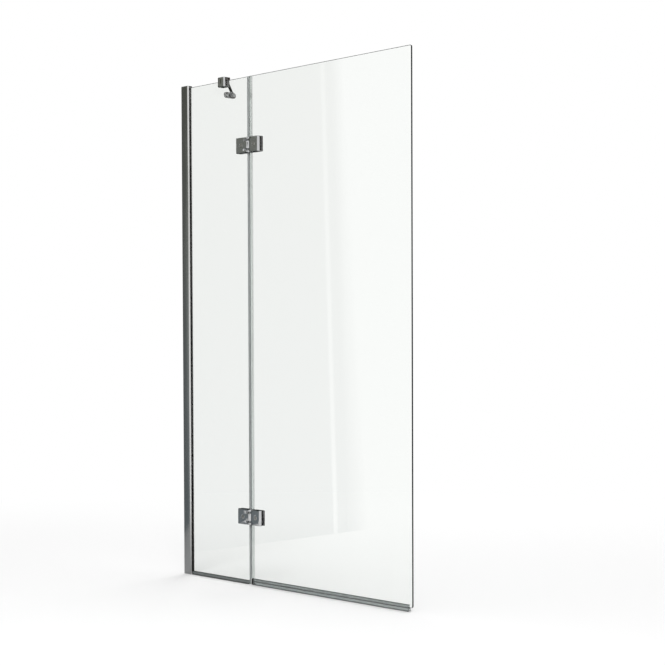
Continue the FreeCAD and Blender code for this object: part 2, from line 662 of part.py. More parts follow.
def stay_clamp_pads():
    """The two pads between the clamp block and the glass."""
    half_length = STAY_CLAMP_LENGTH / 2 - STAY_CLAMP_BEVEL
    low = GLASS_TOP - STAY_CLAMP_UNDER + STAY_CLAMP_RIM_BEVEL
    return group([
        block(STAY_CLAMP_X - half_length, STAY_CLAMP_X + half_length, y, y + STAY_PAD, low, GLASS_TOP)
        for y in (-HALF_GLASS - STAY_PAD, HALF_GLASS)])


def stay_clamp_grub_screw():
    """The screw that pinches the pane in the clamp block."""
    start = HALF_GLASS + STAY_PAD
    end = STAY_CLAMP_WIDTH / 2 - CHANNEL_SCREW_SINK
    return grub_screw(STAY_GRUB_RADIUS, start, end, STAY_CLAMP_X, GLASS_TOP - STAY_GRUB_DROP)


def stay_pin():
    """A headed pin through two ears and an eye, its pivot at the origin."""
    top = -EAR_STARTS[1]
    shank = rod(STAY_PIN_RADIUS, "z", -top, top)
    return shank.fuse(rod(STAY_PIN_HEAD_RADIUS, "z", top, top + STAY_PIN_HEAD))


def stay_rod():
    """The round stay with a flat eye at each end."""
    shape = rod(STAY_RADIUS, "x", STAY_ROD_SETBACK, STAY_LENGTH - STAY_ROD_SETBACK)
    half = STAY_EYE_THICKNESS / 2
    necks = ((0, STAY_ROD_SETBACK), (STAY_LENGTH - STAY_ROD_SETBACK, STAY_LENGTH))
    for start, end in necks:
        shape = shape.fuse(block(start, end, -STAY_RADIUS, STAY_RADIUS, -half, half))
    for x in (0, STAY_LENGTH):
        shape = shape.fuse(rod(STAY_EYE_RADIUS, "z", -half, half, x, 0))
    for x in (0, STAY_LENGTH):
        shape = shape.cut(rod(STAY_PIN_RADIUS + RUNNING_GAP, "z", -half, half, x, 0))
    shape.rotate(FreeCAD.Vector(0, 0, 0), AXES["z"], 180 - STAY_ANGLE)
    return moved(shape, STAY_PIVOT_X, STAY_PIVOT_Y, STAY_PIVOT_Z)


def stay_wall_plate():
    """The oblong plate on the wall, with two sunk screw holes and the ears of the stay."""
    end_radius = WALL_PLATE_HEIGHT / 2
    half = WALL_PLATE_LENGTH / 2
    outline = [(u, v, end_radius) for u, v in (
        (-half, -end_radius), (half, -end_radius), (half, end_radius), (-half, end_radius))]
    plate = prism(outline, "x", 0, WALL_PLATE_THICKNESS)
    front = [edge for edge in plate.Edges if edge.BoundBox.XMin > WALL_PLATE_THICKNESS / 2]
    plate = plate.makeChamfer(WALL_PLATE_BEVEL, front)
    lugs = ears(STAY_WALL_STANDOFF - WALL_PLATE_THICKNESS)
    lugs.rotate(FreeCAD.Vector(0, 0, 0), AXES["z"], -90)
    plate = plate.fuse(moved(lugs, x=STAY_WALL_STANDOFF))
    sink_start = WALL_PLATE_THICKNESS - WALL_PLATE_SINK_DEPTH
    for y in (-WALL_PLATE_HOLE_SPACING / 2, WALL_PLATE_HOLE_SPACING / 2):
        sink = cone(WALL_PLATE_HOLE_RADIUS, WALL_PLATE_SINK_RADIUS, "x", sink_start, WALL_PLATE_THICKNESS, y)
        plate = plate.cut([rod(WALL_PLATE_HOLE_RADIUS, "x", 0, WALL_PLATE_THICKNESS, y), sink])
    return moved(plate, y=WALL_PLATE_Y, z=STAY_PIVOT_Z)


def channel_pieces():
    """Everything fixed to the wall with the channel."""
    return {
        "wall_channel": wall_channel(),
        "channel_top_cap": channel_top_cap(),
        "glass_setting_block": glass_setting_block(),
        "outer_glazing_gasket": glazing_gasket(-1),
        "inner_glazing_gasket": glazing_gasket(1),
        "glass_packing_strip": glass_packing_strip(),
        "glass_pressure_strip": glass_pressure_strip(),
        "channel_clamp_screws": channel_clamp_screws(),
        "clamp_screw_caps": clamp_screw_caps(),
    }


def hinge_pieces():
    """The pieces of both hinges, each hinge with its own set."""
    makers = {
        "fixed_body": hinge_fixed_body,
        "fixed_clamp_plate": hinge_fixed_clamp_plate,
        "fixed_gaskets": hinge_fixed_gaskets,
        "pin": hinge_pin,
        "thrust_washers": hinge_thrust_washers,
        "door_body": hinge_door_body,
        "door_clamp_plate": hinge_door_clamp_plate,
        "door_gaskets": hinge_door_gaskets,
        "lug_bushes": hinge_lug_bushes,
    }
    pieces = {
        "fixed_clamp_screws": clamp_screws(-FIXED_SCREW_REACH),
        "fixed_screw_sleeves": screw_sleeves(-FIXED_SCREW_REACH),
        "door_clamp_screws": clamp_screws(DOOR_SCREW_REACH),
        "door_screw_sleeves": screw_sleeves(DOOR_SCREW_REACH),
    }
    for place, z in HINGE_CENTRES.items():
        for name, make in makers.items():
            pieces[f"{place}_hinge_{name}"] = moved(make(), x=FIXED_WIDTH, z=z)
    return pieces


def pane_pieces():
    """The two panes and their seals."""
    pieces = {
        "fixed_glass": fixed_glass(),
        "fixed_bottom_seal": fixed_bottom_seal(),
        "door_glass": door_glass(),
        "door_bottom_seal": door_bottom_seal(),
        "door_seal_end_block": door_seal_end_block(),
    }
    pieces.update(seam_seals())
    return pieces


def stay_pieces():
    """The clamp, rod and wall plate of the stay."""
    return {
        "stay_clamp_block": stay_clamp_block(),
        "stay_clamp_pads": stay_clamp_pads(),
        "stay_clamp_grub_screw": stay_clamp_grub_screw(),
        "stay_clamp_pin": moved(stay_pin(), STAY_PIVOT_X, STAY_PIVOT_Y, STAY_PIVOT_Z),
        "stay_rod": stay_rod(),
        "stay_wall_plate": stay_wall_plate(),
        "stay_wall_pin": moved(stay_pin(), STAY_WALL_STANDOFF, WALL_PLATE_Y, STAY_PIVOT_Z),
    }


def main():
    """Write every piece to its own file."""
    os.makedirs("parts", exist_ok=True)
    pieces = {}
    for made in (channel_pieces(), pane_pieces(), hinge_pieces(), stay_pieces()):
        pieces.update(made)
    for name, shape in pieces.items():
        shape.exportStep(f"parts/{name}.step")
    print(len(pieces), "pieces written")


main()
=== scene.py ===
"""The looks of a frameless glass screen: a fixed pane in a wall channel, a swinging pane on two
pivot hinges, clip-on seals, and a stay with its clamp and plate.

X runs from the channel's back along the screen, Y to the inner side and Z up. Sizes are in
millimetres and MM turns them into metres.
"""

import json
import logging
import math
from dataclasses import dataclass
from enum import Enum, IntEnum
from typing import Any, Optional, Union

import bmesh
import bpy
from bmesh.types import BMesh, BMFace
from bpy.types import ID, Material, Mesh, Node, NodeSocket, NodeTree, Object
from mathutils import Matrix, Vector

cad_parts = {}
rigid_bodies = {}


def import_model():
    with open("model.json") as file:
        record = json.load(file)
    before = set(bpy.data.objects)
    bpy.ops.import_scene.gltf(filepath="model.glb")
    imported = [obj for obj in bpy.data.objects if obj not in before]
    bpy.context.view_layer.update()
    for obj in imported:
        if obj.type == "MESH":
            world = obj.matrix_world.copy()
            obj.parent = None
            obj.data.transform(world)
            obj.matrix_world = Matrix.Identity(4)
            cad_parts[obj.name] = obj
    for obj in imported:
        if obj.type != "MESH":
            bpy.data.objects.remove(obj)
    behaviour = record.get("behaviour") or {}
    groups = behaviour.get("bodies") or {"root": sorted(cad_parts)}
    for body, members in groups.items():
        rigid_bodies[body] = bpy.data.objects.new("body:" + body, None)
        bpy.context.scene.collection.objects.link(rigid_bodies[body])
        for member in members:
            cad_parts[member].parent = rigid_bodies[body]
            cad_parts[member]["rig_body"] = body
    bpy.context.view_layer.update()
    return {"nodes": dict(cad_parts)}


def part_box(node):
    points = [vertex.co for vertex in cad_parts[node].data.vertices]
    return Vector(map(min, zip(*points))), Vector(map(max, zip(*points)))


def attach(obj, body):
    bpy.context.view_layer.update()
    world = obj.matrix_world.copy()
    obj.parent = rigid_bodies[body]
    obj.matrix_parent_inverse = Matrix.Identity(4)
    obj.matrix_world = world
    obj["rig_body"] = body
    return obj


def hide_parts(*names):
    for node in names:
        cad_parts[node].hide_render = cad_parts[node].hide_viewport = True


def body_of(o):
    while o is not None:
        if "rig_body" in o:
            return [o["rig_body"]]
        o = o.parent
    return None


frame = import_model()
MM = 0.001
# Edges sharper than this many degrees stay sharp under smooth shading.
CREASE = 35.0
# Points nearer than this many metres are one.
SAME_POINT = 1e-6
# A noise pattern seldom goes below the first or above the second.
NOISE_ENDS = (0.3, 0.7)
MATH = "ShaderNodeMath"
Point = tuple[float, float, float]
Pair = tuple[float, float]
Loop = list[Pair]
Colour = tuple[float, float, float, float]
Inputs = dict[Union[str, int], Any]
log = logging.getLogger("screen")


class Slot(Enum):
    """The material slots of the record."""

    ALUMINIUM = "polished_aluminium"
    CHROME = "chrome"
    GLASS = "clear_glass"
    PVC = "clear_pvc"
    RUBBER = "black_rubber"
    NYLON = "nylon"
    STEEL = "stainless_steel"


class Run(Enum):
    """The way an extruded strip runs, as the turn of its profile's plane about X, Y and Z."""

    ALONG = (math.pi / 2, 0.0, math.pi / 2)
    UP = (0.0, 0.0, 0.0)


class Surface(IntEnum):
    """The surfaces of a pane, numbered as its finishes are."""

    FLAT = 0
    SIDE = 1
    GROUND = 2
    SEAM = 3


def linear(code: str) -> Colour:
    """Turns an sRGB hex colour into linear numbers.

    Args:
        code: Six hex digits after a hash.

    Returns:
        Red, green and blue, linear, and an alpha of one.
    """
    parts = [int(code[i:i + 2], 16) / 255 for i in (1, 3, 5)]
    red, green, blue = (p / 12.92 if p <= 0.04045 else ((p + 0.055) / 1.055) ** 2.4 for p in parts)
    return red, green, blue, 1.0


def add_node(tree: NodeTree, kind: str, inputs: Optional[Inputs] = None, **settings: Any) -> Node:
    """Adds one node with its settings and links.

    Args:
        tree: The tree to add it to.
        kind: The node's type.
        inputs: For each input, by name or number: a value, another node's output socket, or a list
            of sockets where the input takes several.
        **settings: The node's own properties.

    Returns:
        The new node.
    """
    node = tree.nodes.new(kind)
    for name, value in settings.items():
        setattr(node, name, value)
    for key, given in (inputs or {}).items():
        for value in given if isinstance(given, list) else [given]:
            if isinstance(value, NodeSocket):
                tree.links.new(value, node.inputs[key])
            else:
                node.inputs[key].default_value = value
    return node


def placed(name: str, data: ID) -> Object:
    """Makes an object and puts it in the scene.

    Args:
        name: The object's name.
        data: Its mesh, lamp or camera.

    Returns:
        The object.
    """
    made = bpy.data.objects.new(name, data)
    bpy.context.scene.collection.objects.link(made)
    return made


# ---- finishes


@dataclass(frozen=True)
class Pattern:
    """Soft patches in a piece's own coordinates: how large one is along X, Y and Z, and how many
    finer layers lie in it."""

    size: Point
    depth: float = 2.0

    def add_to(self, tree: NodeTree) -> NodeSocket:
        """Adds the patches.

        Args:
            tree: The material's nodes.

        Returns:
            A value around a half, from 0 to 1.
        """
        place = add_node(tree, "ShaderNodeTexCoord").outputs["Object"]
        scale = tuple(1 / (s * MM) for s in self.size)
        cells = add_node(tree, "ShaderNodeMapping", {"Vector": place, "Scale": scale}).outputs[0]
        noise = {"Vector": cells, "Scale": 1.0, "Detail": self.depth}
        return add_node(tree, "ShaderNodeTexNoise", noise).outputs["Fac"]


@dataclass(frozen=True)
class Finish:
    """What every finish has: its name, its slot in the record and its plain numbers. Some have
    patterns too: a haze, rough at its ends, waves with a height, and clouds of a second colour."""

    name: str
    slot: Slot
    colour: str
    roughness: float
    metallic: float = 0.0
    ior: float = 1.5
    transmission: float = 0.0
    mirror: float = 0.5
    haze: Optional[Pattern] = None
    rough: Pair = (0.0, 1.0)
    waves: Optional[Pattern] = None
    height: float = 0.0
    clouds: Optional[Pattern] = None
    cloud: Optional[str] = None
    gain: float = 1.0

    def material(self) -> Material:
        """Makes the material the first time it is asked for.

        Returns:
            The material of this finish.
        """
        made = bpy.data.materials.get(self.name)
        if made is None:
            made = bpy.data.materials.new(self.name)
            made.use_nodes = True
            self.fill(made.node_tree)
        return made

    def fill(self, tree: NodeTree) -> None:
        """Gives the main shader its plain numbers and its patterns.

        Args:
            tree: The material's nodes.
        """
        shader = tree.nodes["Principled BSDF"]
        for name, value in (
                ("Base Color", linear(self.colour)), ("Roughness", self.roughness),
                ("Metallic", self.metallic), ("IOR", self.ior),
                ("Transmission Weight", self.transmission), ("Specular IOR Level", self.mirror)):
            shader.inputs[name].default_value = value
        if self.haze:
            ends = dict(enumerate((self.haze.add_to(tree), *NOISE_ENDS, *self.rough)))
            dulled = add_node(tree, "ShaderNodeMapRange", ends).outputs[0]
            tree.links.new(dulled, shader.inputs["Roughness"])
        if self.waves:
            bump = {
                "Height": self.waves.add_to(tree), "Distance": self.height * MM, "Strength": 1.0}
            raised = add_node(tree, "ShaderNodeBump", bump).outputs[0]
            tree.links.new(raised, shader.inputs["Normal"])
        if self.clouds:
            pale = tuple(min(c * self.gain, 1.0) for c in linear(self.cloud or self.colour))
            mix = {"Factor": self.clouds.add_to(tree), "A": linear(self.colour), "B": pale}
            shades = add_node(tree, "ShaderNodeMix", mix, data_type="RGBA").outputs["Result"]
            tree.links.new(shades, shader.inputs["Base Color"])


@dataclass(frozen=True)
class ChromePlate(Finish):
    """Chrome plate over polished brass: a near mirror, with a faint haze from wiping and the soft
    waves that polishing leaves, so a reflection breaks up into light and dark patches."""

    haze: Pattern = Pattern((25.0,) * 3)
    rough: Pair = (0.05, 0.16)
    waves: Pattern = Pattern((6.0,) * 3, 1.0)
    height: float = 0.04


@dataclass(frozen=True)
class AnodisedExtrusion(Finish):
    """Aluminium extruded, polished and clear anodised: bright, with a thin skin that softens the
    mirror, and faint straight lines from the die all the way up."""

    haze: Pattern = Pattern((14.0, 14.0, 160.0))
    rough: Pair = (0.10, 0.22)
    # Real die lines are a tenth of a millimetre apart: drawn ten times coarser, to show.
    waves: Pattern = Pattern((1.1, 1.1, 600.0), 3.0)
    height: float = 0.006


@dataclass(frozen=True)
class FloatGlass(Finish):
    """Toughened float glass: clear and flat, with the long slow waves that the rollers of the
    toughening oven press in, so only its mirrored lines waver."""

    waves: Pattern = Pattern((420.0, 420.0, 150.0), 0.0)
    height: float = 0.05


@dataclass(frozen=True)
class GroundEdge(Finish):
    """The glass's ground or polished edge, with faint lengthwise wheel marks. Its colour is painted
    shade, dark grey-green for the light that the depth of the pane behind it swallows, and
    painted light in its paler copies, where light reaches the edge through a seal."""

    ior: float = 1.52
    haze: Pattern = Pattern((30.0, 0.7, 30.0))
    rough: Pair = (0.21, 0.45)
    clouds: Pattern = Pattern((30.0, 0.7, 30.0))
    gain: float = 1.3


@dataclass(frozen=True)
class ExtrudedPvc(Finish):
    """PVC, extruded: cloudy where it is soft and clearer where it is hard, with a satin skin and
    slight drag ripples."""

    ior: float = 1.53
    waves: Pattern = Pattern((3.0,) * 3, 1.0)
    height: float = 0.02
    clouds: Pattern = Pattern((9.0,) * 3)


@dataclass(frozen=True)
class Moulded(Finish):
    """A moulded or extruded plastic or rubber with a fine grain in its skin, smoother in places."""

    haze: Pattern = Pattern((18.0,) * 3)
    # Real grain is near a tenth of a millimetre: drawn coarser, to show.
    waves: Pattern = Pattern((1.2,) * 3)
    height: float = 0.02


@dataclass(frozen=True)
class TurnedSteel(Finish):
    """Stainless steel off the lathe: satin, with fine tool marks across its length."""

    # A real feed mark is a tenth of a millimetre wide: drawn coarser, to show.
    haze: Pattern = Pattern((6.0, 0.5, 0.5))
    rough: Pair = (0.16, 0.34)
    waves: Pattern = Pattern((6.0, 0.5, 0.5))
    height: float = 0.008


CHROME = ChromePlate("chrome_plated_brass", Slot.CHROME, "#C3C4C5", 0.07, metallic=1.0)
ALUMINIUM = AnodisedExtrusion(
    "anodised_polished_aluminium", Slot.ALUMINIUM, "#D3D3D2", 0.14, metallic=1.0)
GLASS = FloatGlass(
    "toughened_float_glass", Slot.GLASS, "#F9FBF9", 0.0, ior=1.52, transmission=1.0)
# The mirror share is low, because from inside the pane a polished edge would mirror all of it.
# The edge's dark grey-green is painted shade, for the light that the depth of the pane swallows.
GLASS_EDGE_PAINTED_SHADE = GroundEdge("polished_glass_edge_painted_shade", Slot.GLASS, "#181D1C", 0.3, mirror=0.04)
# The arris is painted dark as well: painted shade.
GLASS_ARRIS_PAINTED_SHADE = GroundEdge(
    "ground_glass_arris_painted_shade", Slot.GLASS, "#232928", 0.5, mirror=0.0, rough=(0.35, 0.75))
# The edge in the seam and in the seal is painted paler: painted light, where light reaches it
# there.
SEAM_EDGE_PAINTED_LIGHT = GroundEdge("glass_edge_in_seam_painted_light", Slot.GLASS, "#8E9492", 0.3, mirror=0.1)
SEAL_EDGE_PAINTED_LIGHT = GroundEdge("glass_edge_in_seal_painted_light", Slot.GLASS, "#C6CBCA", 0.3, mirror=0.1)
SOFT_PVC = ExtrudedPvc(
    "extruded_soft_cloudy_pvc", Slot.PVC, "#A2A6A6", 0.28, transmission=0.5, cloud="#BEC1C1")
CLEAR_PVC = ExtrudedPvc(
    "extruded_clear_pvc", Slot.PVC, "#F2F5F4", 0.06, transmission=1.0, cloud="#FAFCFB")
HARD_PVC = ExtrudedPvc(
    "extruded_hard_smoky_pvc", Slot.PVC, "#BCC2C1", 0.12, transmission=0.9, cloud="#D2D6D5")
GREY_PVC = ExtrudedPvc(
    "extruded_semi_soft_grey_pvc", Slot.PVC, "#6C7270", 0.3, transmission=0.35, cloud="#8B908F")
# Dark grey painted shade for the bands on the foot seals' top edges, glass feet and lip tips.
PAINTED_SHADE_PVC = ExtrudedPvc(
    "painted_shade_band_pvc", Slot.PVC, "#2E3231", 0.35, transmission=0.1, cloud="#4A4F4E")
RUBBER = Moulded("black_epdm_rubber", Slot.RUBBER, "#1B1B1C", 0.62, rough=(0.54, 0.70))
NYLON = Moulded(
    "moulded_natural_nylon", Slot.NYLON, "#D6D5CC", 0.42, rough=(0.34, 0.50),
    waves=Pattern((1.5,) * 3))
STEEL = TurnedSteel("turned_stainless_steel", Slot.STEEL, "#B9B8B5", 0.24, metallic=1.0)


# ---- making pieces


def finished(name: str, mesh: Mesh, finish: Finish, node: str) -> Object:
    """Makes a mesh the piece that stands for a CAD node, on the node's body.

    Args:
        name: The piece's name.
        mesh: Its mesh, in place.
        finish: Its main finish.
        node: The CAD node.

    Returns:
        The piece.
    """
    mesh.name = name
    piece = placed(name, mesh)
    if not mesh.materials:
        mesh.materials.append(finish.material())
    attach(piece, body_of(frame["nodes"][node])[0])
    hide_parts(node)
    return piece


def shaded(mesh: Mesh, crease: float = CREASE) -> Mesh:
    """Shades a mesh smooth but for its real edges.

    Args:
        mesh: The mesh.
        crease: Edges sharper than this many degrees stay sharp.

    Returns:
        The mesh.
    """
    mesh.shade_smooth()
    mesh.set_sharp_from_angle(angle=math.radians(crease))
    return mesh


def baked(source: Object, crease: float = CREASE) -> Mesh:
    """Turns an object with modifiers into a plain mesh, smooth but for its real edges.

    Args:
        source: The object, which is removed.
        crease: Edges sharper than this many degrees stay sharp.

    Returns:
        The mesh.
    """
    graph = bpy.context.evaluated_depsgraph_get()
    mesh = bpy.data.meshes.new_from_object(source.evaluated_get(graph))
    old = source.data
    bpy.data.objects.remove(source)
    bpy.data.meshes.remove(old)
    return shaded(mesh, crease)


@dataclass(frozen=True)
class Easing:
    """How the sharp edges of a machined or cut piece are eased."""

    width: float
    steps: int = 2
    angle: float = 30.0

    def add_to(self, piece: Object) -> None:
        """Gives an object the bevel that eases its edges.

        Args:
            piece: The object.
        """
        bevel = piece.modifiers.new("eased", "BEVEL")
        bevel.width, bevel.segments = self.width * MM, self.steps
        bevel.limit_method, bevel.angle_limit = "ANGLE", math.radians(self.angle)
        bevel.miter_outer = "MITER_ARC"


def merged_copy(node: str, flat: float = 0.5) -> Mesh:
    """Copies a CAD node's mesh with its loose triangles merged into whole faces.

    Args:
        node: The CAD node.
        flat: Faces that meet at less than this many degrees are one.

    Returns:
        The copy, with no material.
    """
    mesh = frame["nodes"][node].data.copy()
    mesh.materials.clear()
    work = bmesh.new()
    work.from_mesh(mesh)
    bmesh.ops.remove_doubles(work, verts=work.verts, dist=SAME_POINT)
    bmesh.ops.dissolve_limit(
        work, angle_limit=math.radians(flat), verts=work.verts, edges=work.edges)
    for face in work.faces:
        face.material_index = 0
    work.to_mesh(mesh)
    work.free()
    normals = mesh.attributes.get("custom_normal")
    if normals:
        mesh.attributes.remove(normals)
    return mesh


def eased(node: str, finish: Finish, width: float) -> Object:
    """Stands a copy with eased edges in a CAD node's place.

    Args:
        node: The CAD node.
        finish: Its finish.
        width: How far its edges are eased.

    Returns:
        The piece.
    """
    work = placed("work", merged_copy(node))
    work.data.materials.append(finish.material())
    Easing(width).add_to(work)
    return finished(f"{node}_eased", baked(work), finish, node)


def dress_zone(mesh: Mesh, finish: Finish, axis: str, zones: tuple[Pair, ...]) -> None:
    """Gives the faces of a strip that lie in some zones another finish, as for the seam seal's
    clear legs and the foot seals' bands of painted shade.

    Args:
        mesh: The strip.
        finish: The finish of those faces.
        axis: The axis that the zones are measured along: x, y or z.
        zones: Where each zone starts and ends.
    """
    mesh.materials.append(finish.material())
    place = len(mesh.materials) - 1
    for face in mesh.polygons:
        middle = getattr(face.center, axis) / MM
        if any(low < middle < high for low, high in zones):
            face.material_index = place


def dress(finish: Finish, *nodes: str) -> None:
    """Gives CAD nodes whose shape is right a finish.

    Args:
        finish: The finish.
        *nodes: The CAD nodes.
    """
    for node in nodes:
        for slot in frame["nodes"][node].material_slots:
            slot.material = finish.material()


class Grower:
    """A Geometry Nodes tree with named sizes that grows pieces which repeat or follow a path."""

    crease: float = CREASE

    def __init__(self, name: str, sizes: dict[str, str]) -> None:
        """Starts the tree.

        Args:
            name: The tree's name.
            sizes: The socket type of each named input.
        """
        self.tree = bpy.data.node_groups.new(name, "GeometryNodeTree")
        face = self.tree.interface
        for way in ("OUTPUT", "INPUT"):
            face.new_socket("Geometry", in_out=way, socket_type="NodeSocketGeometry")
        self.keys = {
            size: face.new_socket(size, in_out="INPUT", socket_type=f"NodeSocket{kind}").identifier
            for size, kind in {**sizes, "Finish": "Material"}.items()}
        self.given = add_node(self.tree, "NodeGroupInput").outputs

    def add(self, kind: str, inputs: Optional[Inputs] = None, **settings: Any) -> NodeSocket:
        """Adds a node of any kind to the tree and returns its first output."""
        return add_node(self.tree, kind, inputs, **settings).outputs[0]

    def end(self, result: NodeSocket) -> None:
        """Realizes what the tree made, gives it its finish and hands it out.

        Args:
            result: The geometry.
        """
        real = self.add("GeometryNodeRealizeInstances", {"Geometry": result})
        dressed = self.add(
            "GeometryNodeSetMaterial", {"Geometry": real, "Material": self.given["Finish"]})
        add_node(self.tree, "NodeGroupOutput", {"Geometry": dressed})

    def grow(
        self, sizes: dict[str, Any], finish: Finish,
        base: Optional[Mesh] = None, easing: Optional[Easing] = None,
    ) -> Mesh:
        """Grows one mesh.

        Args:
            sizes: A value for each named input, lengths in metres.
            finish: The finish of its faces.
            base: The mesh that the tree starts from.
            easing: How its edges are eased.

        Returns:
            The plain mesh.
        """
        work = placed("work", base or bpy.data.meshes.new("work"))
        grower = work.modifiers.new("grower", "NODES")
        grower.node_group = self.tree
        for size, value in {**sizes, "Finish": finish.material()}.items():
            grower[self.keys[size]] = value
        if easing:
            easing.add_to(work)
        return baked(work, self.crease)


class StripGrower(Grower):
    """Grows an extruded strip from loops drawn in the plane of its profile."""

    # Light goes straight through a clear strip only where its flats are shaded flat.
    crease: float = 15.0
    corner_points: int = 3

    def __init__(self) -> None:
        """Builds the tree: round the loops, fill them, push the face out and close its foot."""
        super().__init__("extruded_strip", {
            "Length": "Float", "Corner": "Float", "Start": "Vector", "Turn": "Vector"})
        given = self.given
        loops = self.add("GeometryNodeMeshToCurve", {"Mesh": given["Geometry"]})
        rounded = self.add("GeometryNodeFilletCurve", {
            "Curve": loops, "Count": self.corner_points, "Radius": given["Corner"],
            "Limit Radius": True}, mode="POLY")
        face = self.add("GeometryNodeFillCurve", {"Curve": rounded}, mode="NGONS")
        push = self.add("ShaderNodeCombineXYZ", {"Z": given["Length"]})
        body = self.add(
            "GeometryNodeExtrudeMesh", {"Mesh": face, "Offset": push, "Individual": False})
        foot = self.add("GeometryNodeFlipFaces", {"Mesh": face})
        joined = self.add("GeometryNodeJoinGeometry", {"Geometry": [body, foot]})
        whole = self.add(
            "GeometryNodeMergeByDistance", {"Geometry": joined, "Distance": SAME_POINT})
        self.end(self.add("GeometryNodeTransform", {
            "Geometry": whole, "Translation": given["Start"], "Rotation": given["Turn"]}))

    def strip(
        self, loops: list[Loop], run: Run, start: Point, length: float, finish: Finish,
        corner: float,
    ) -> Mesh:
        """Grows one strip.

        Args:
            loops: The outline and any bores, as closed loops of points.
            run: The way it runs.
            start: Where the profile's zero is at the strip's foot.
            length: How long it is.
            finish: Its finish.
            corner: The radius that the die leaves at the profile's corners.

        Returns:
            The plain mesh.
        """
        base = bpy.data.meshes.new("profile")
        points = [(u * MM, v * MM, 0) for loop in loops for u, v in loop]
        edges, first = [], 0
        for loop in loops:
            count = len(loop)
            edges += [(first + i, first + (i + 1) % count) for i in range(count)]
            first += count
        base.from_pydata(points, edges, [])
        sizes = {
            "Length": length * MM, "Corner": corner * MM,
            "Start": [c * MM for c in start], "Turn": run.value}
        return self.grow(sizes, finish, base)


class RowGrower(Grower):
    """Grows a row of equal pieces, each pointing along Y."""

    round_sides: int = 48

    def __init__(self, name: str, sizes: dict[str, str]) -> None:
        """Starts the tree with the named inputs of one piece and of the row."""
        super().__init__(name, {**sizes, "First": "Vector", "Step": "Vector", "Count": "Int"})

    def raised(self, part: NodeSocket, height: NodeSocket) -> NodeSocket:
        """Moves a part up along Z by a height and returns it."""
        up = self.add("ShaderNodeCombineXYZ", {"Z": height})
        return self.add("GeometryNodeTransform", {"Geometry": part, "Translation": up})

    def end_in_row(self, piece: NodeSocket) -> None:
        """Lays the piece over along Y, repeats it and ends the tree.

        Args:
            piece: One piece, which points up.
        """
        given = self.given
        row = self.add("GeometryNodeMeshLine", {
            "Count": given["Count"], "Start Location": given["First"], "Offset": given["Step"]})
        self.end(self.add("GeometryNodeInstanceOnPoints", {
            "Points": row, "Instance": piece, "Rotation": (-math.pi / 2, 0, 0)}))


class ScrewGrower(RowGrower):
    """Grows a row of flush screws with hexagonal sockets."""

    # The socket is drilled before it is punched, and the drill leaves a cone in its floor.
    drill_share: float = 0.7
    drill_point: float = 0.7
    drill_sides: int = 24
    overlap: float = 0.01

    def __init__(self) -> None:
        """Builds the tree: a cone on a shank, less a hexagon with a drilled floor, in a row."""
        super().__init__("flush_socket_screws", dict.fromkeys((
            "Head Radius", "Head Depth", "Shank Radius", "Length", "Socket Radius",
            "Socket Depth"), "Float"))
        given = self.given
        head = self.add("GeometryNodeMeshCone", {
            "Vertices": self.round_sides, "Radius Bottom": given["Head Radius"],
            "Radius Top": given["Shank Radius"], "Depth": given["Head Depth"]})
        shank_length = self.add(
            MATH, {0: given["Length"], 1: given["Head Depth"]}, operation="SUBTRACT")
        shank = self.add("GeometryNodeMeshCone", {
            "Vertices": self.round_sides, "Radius Bottom": given["Shank Radius"],
            "Radius Top": given["Shank Radius"], "Depth": shank_length})
        parts = [head, self.raised(shank, given["Head Depth"])]
        screw = self.add(
            "GeometryNodeMeshBoolean", {1: parts}, operation="UNION", solver="EXACT")
        double = self.add(MATH, {0: given["Socket Depth"], 1: 2.0}, operation="MULTIPLY")
        hexagon = self.add("GeometryNodeMeshCylinder", {
            "Vertices": 6, "Radius": given["Socket Radius"], "Depth": double})
        drilled = self.add(
            MATH, {0: given["Socket Radius"], 1: self.drill_share}, operation="MULTIPLY")
        cone = self.add("GeometryNodeMeshCone", {
            "Vertices": self.drill_sides, "Radius Bottom": drilled, "Radius Top": 0.0,
            "Depth": self.drill_point * MM})
        floor = self.add(
            MATH, {0: given["Socket Depth"], 1: self.overlap * MM}, operation="SUBTRACT")
        cuts = [hexagon, self.raised(cone, floor)]
        self.end_in_row(self.add(
            "GeometryNodeMeshBoolean", {0: screw, 1: cuts}, operation="DIFFERENCE", solver="EXACT"))


class CapGrower(RowGrower):
    """Grows a row of low domed caps."""

    rings: int = 10
    levels: int = 2
    steepness: float = 5.0

    def __init__(self) -> None:
        """Builds the tree: a disc whose border falls away from its crown, in a row."""
        super().__init__("domed_caps", dict.fromkeys(("Radius", "Height", "Fall"), "Float"))
        given = self.given
        disc = self.add("GeometryNodeMeshCylinder", {
            "Vertices": self.round_sides, "Side Segments": self.levels,
            "Fill Segments": self.rings, "Radius": given["Radius"], "Depth": given["Height"]})
        place = self.add("GeometryNodeInputPosition")
        x, y, z = add_node(self.tree, "ShaderNodeSeparateXYZ", {0: place}).outputs
        squares = [self.add(MATH, {0: part, 1: 2.0}, operation="POWER") for part in (x, y)]
        drop = self.add(MATH, dict(enumerate(squares)), operation="ADD")
        is_top = self.add(MATH, {0: z, 1: 0.0}, operation="GREATER_THAN")
        for operation, other in (
                ("SQRT", 0.0), ("DIVIDE", given["Radius"]), ("POWER", self.steepness),
                ("MULTIPLY", given["Fall"]), ("MULTIPLY", is_top), ("MULTIPLY", -1.0)):
            drop = self.add(MATH, {0: drop, 1: other}, operation=operation)
        offset = self.add("ShaderNodeCombineXYZ", {"Z": drop})
        domed = self.add("GeometryNodeSetPosition", {"Geometry": disc, "Offset": offset})
        half = self.add(MATH, {0: given["Height"], 1: 0.5}, operation="MULTIPLY")
        self.end_in_row(self.raised(domed, half))


# ---- sub-assemblies


